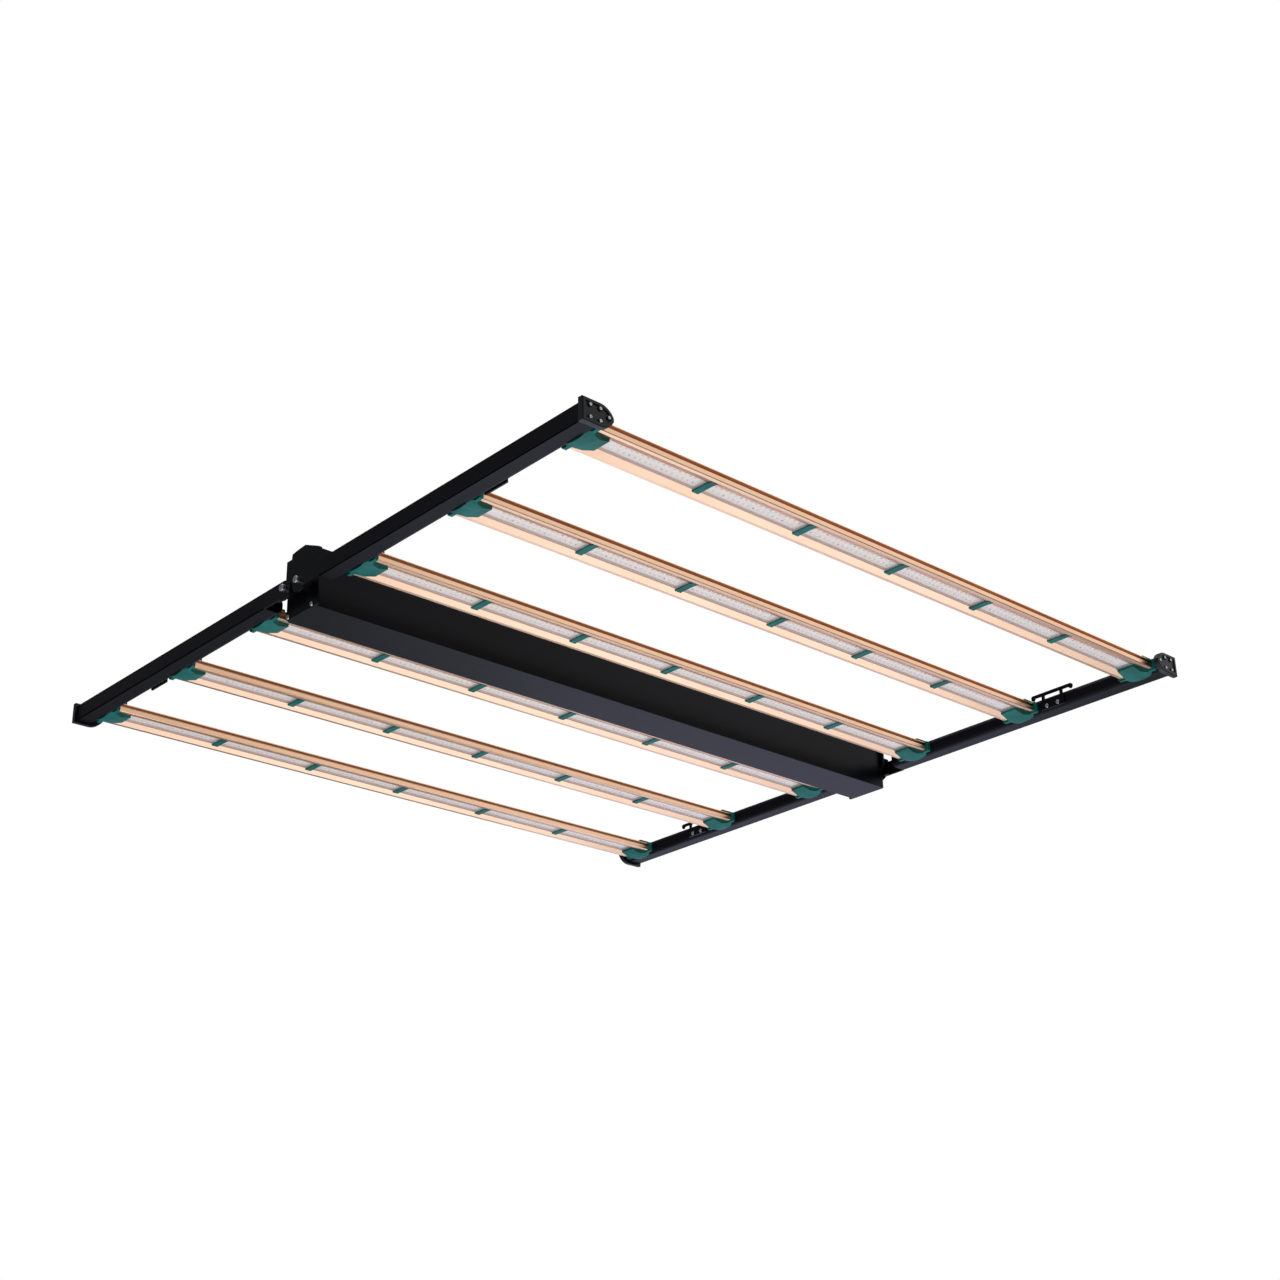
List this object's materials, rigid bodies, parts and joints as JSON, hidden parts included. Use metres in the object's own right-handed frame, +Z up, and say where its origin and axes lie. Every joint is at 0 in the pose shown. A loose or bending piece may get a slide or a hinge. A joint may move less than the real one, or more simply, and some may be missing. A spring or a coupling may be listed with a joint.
{
  "type": "led grow light",
  "caption": "Foldable multi-bar horticultural LED light: champagne light bars on hinged black side rails, a central driver box and hangers.",
  "frame": {"origin": "suspension centre: midway between the four hangers, at the height where a hook bears under the hangers' top arms", "axes": "+X along the light bars, +Y along the side rails from the front wing to the back wing, +Z up; the LEDs face -Z"},
  "size_m": [1.0838, 1.1094, 0.093],
  "materials": {
    "champagne_anodised": "rose-champagne anodised extrusion",
    "black_anodised": "black anodised extrusion",
    "black_powder_coat": "black powder coat on sheet steel",
    "black_moulding": "black moulded nylon",
    "teal_nylon": "teal green moulded nylon",
    "frosted_lens": "frosted clear polycarbonate",
    "led_board": "white solder mask",
    "zinc_steel": "bright zinc plated",
    "wire_jacket": "silicone jacket",
    "driver_case": "plain aluminium case",
    "terminal_nylon": "natural nylon",
    "rubber": "black rubber"
  },
  "bodies": {
    "spine": {"control_port_plug": "rubber", "dimmer_pot": "black_moulding", "end_plate_left": "black_powder_coat", "end_plate_right": "black_powder_coat", "end_plate_screws": "zinc_steel", "led_driver": "driver_case", "pivot_bolts": "zinc_steel", "pivot_nuts": "zinc_steel", "pivot_spacers": "black_powder_coat", "power_gland": "black_moulding", "spine_housing": "black_powder_coat", "spine_tray": "black_powder_coat", "terminal_block": "terminal_nylon"},
    "front_wing": {"front_bar_holders": "teal_nylon", "front_bar_inner": "champagne_anodised", "front_bar_middle": "champagne_anodised", "front_bar_outer": "champagne_anodised", "front_cap_screws": "zinc_steel", "front_frame_screws": "zinc_steel", "front_hanger_left": "black_powder_coat", "front_hanger_right": "black_powder_coat", "front_hinge_arm_left": "black_powder_coat", "front_hinge_arm_right": "black_powder_coat", "front_led_board_inner": "led_board", "front_led_board_middle": "led_board", "front_led_board_outer": "led_board", "front_lens_clips": "teal_nylon", "front_lens_inner": "frosted_lens", "front_lens_middle": "frosted_lens", "front_lens_outer": "frosted_lens", "front_rail_cap_left": "black_moulding", "front_rail_cap_right": "black_moulding", "front_rail_left": "black_anodised", "front_rail_right": "black_anodised", "front_wire_loom": "wire_jacket"},
    "back_wing": {"back_bar_holders": "teal_nylon", "back_bar_inner": "champagne_anodised", "back_bar_middle": "champagne_anodised", "back_bar_outer": "champagne_anodised", "back_cap_screws": "zinc_steel", "back_frame_screws": "zinc_steel", "back_hanger_left": "black_powder_coat", "back_hanger_right": "black_powder_coat", "back_hinge_arm_left": "black_powder_coat", "back_hinge_arm_right": "black_powder_coat", "back_led_board_inner": "led_board", "back_led_board_middle": "led_board", "back_led_board_outer": "led_board", "back_lens_clips": "teal_nylon", "back_lens_inner": "frosted_lens", "back_lens_middle": "frosted_lens", "back_lens_outer": "frosted_lens", "back_rail_cap_left": "black_moulding", "back_rail_cap_right": "black_moulding", "back_rail_left": "black_anodised", "back_rail_right": "black_anodised", "back_wire_loom": "wire_jacket"},
    "knob": {"dimmer_knob": "black_moulding", "dimmer_shaft": "zinc_steel"}
  },
  "joints": [
    {"name": "front_wing_fold", "type": "hinge", "parent": "spine", "child": "front_wing", "pos_m": [0, -0.0155, -0.0125], "axis": [1, 0, 0], "range_deg": [0, 90]},
    {"name": "back_wing_fold", "type": "hinge", "parent": "spine", "child": "back_wing", "pos_m": [0, 0.0155, -0.0125], "axis": [-1, 0, 0], "range_deg": [0, 90]},
    {"name": "dimmer_turn", "type": "hinge", "parent": "spine", "child": "knob", "pos_m": [-0.35, 0.0305, 0.0055], "axis": [0, 1, 0], "range_deg": [0, 270]}
  ]
}
